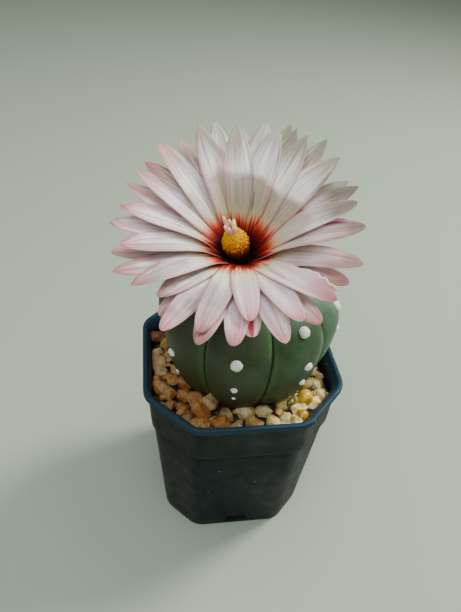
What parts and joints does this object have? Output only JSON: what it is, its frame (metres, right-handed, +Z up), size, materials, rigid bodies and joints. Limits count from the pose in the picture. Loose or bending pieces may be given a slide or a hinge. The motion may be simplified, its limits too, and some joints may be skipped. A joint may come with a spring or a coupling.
{
  "type": "potted star cactus in bloom",
  "caption": "Round ribbed spineless cactus with woolly areoles and one open many-petalled flower, bedded in gravel in a small eight-sided plastic nursery pot.",
  "frame": {"origin": "middle of the pot's flat underside, which stands on the table", "axes": "+Z up through the plant, -Y the front as pictured, +X to the right seen from the front"},
  "size_m": [0.066, 0.0682, 0.1279],
  "materials": {
    "pot_plastic": "satin moulded",
    "soil": "matt crumbly soil",
    "gravel": "matt broken stone",
    "bead_amber": "glossy resin coat",
    "bead_orange": "glossy resin coat",
    "bead_olive": "glossy resin coat",
    "bead_back": "glossy resin coat",
    "cactus_skin": "matt waxy skin",
    "tube_wool": "woolly scales",
    "petal": "soft satin petal",
    "anther": "powdery pollen",
    "stigma": "soft matt"
  },
  "bodies": {
    "root": {"pot": "pot_plastic", "potting_soil": "soil", "gravel_dressing": "gravel", "fertiliser_bead_amber": "bead_amber", "fertiliser_bead_orange": "bead_orange", "fertiliser_bead_olive": "bead_olive", "fertiliser_bead_back": "bead_back", "cactus_body": "cactus_skin", "flower_tube": "tube_wool", "petals": "petal", "stamens": "anther", "style_and_stigma": "stigma"}
  },
  "joints": []
}
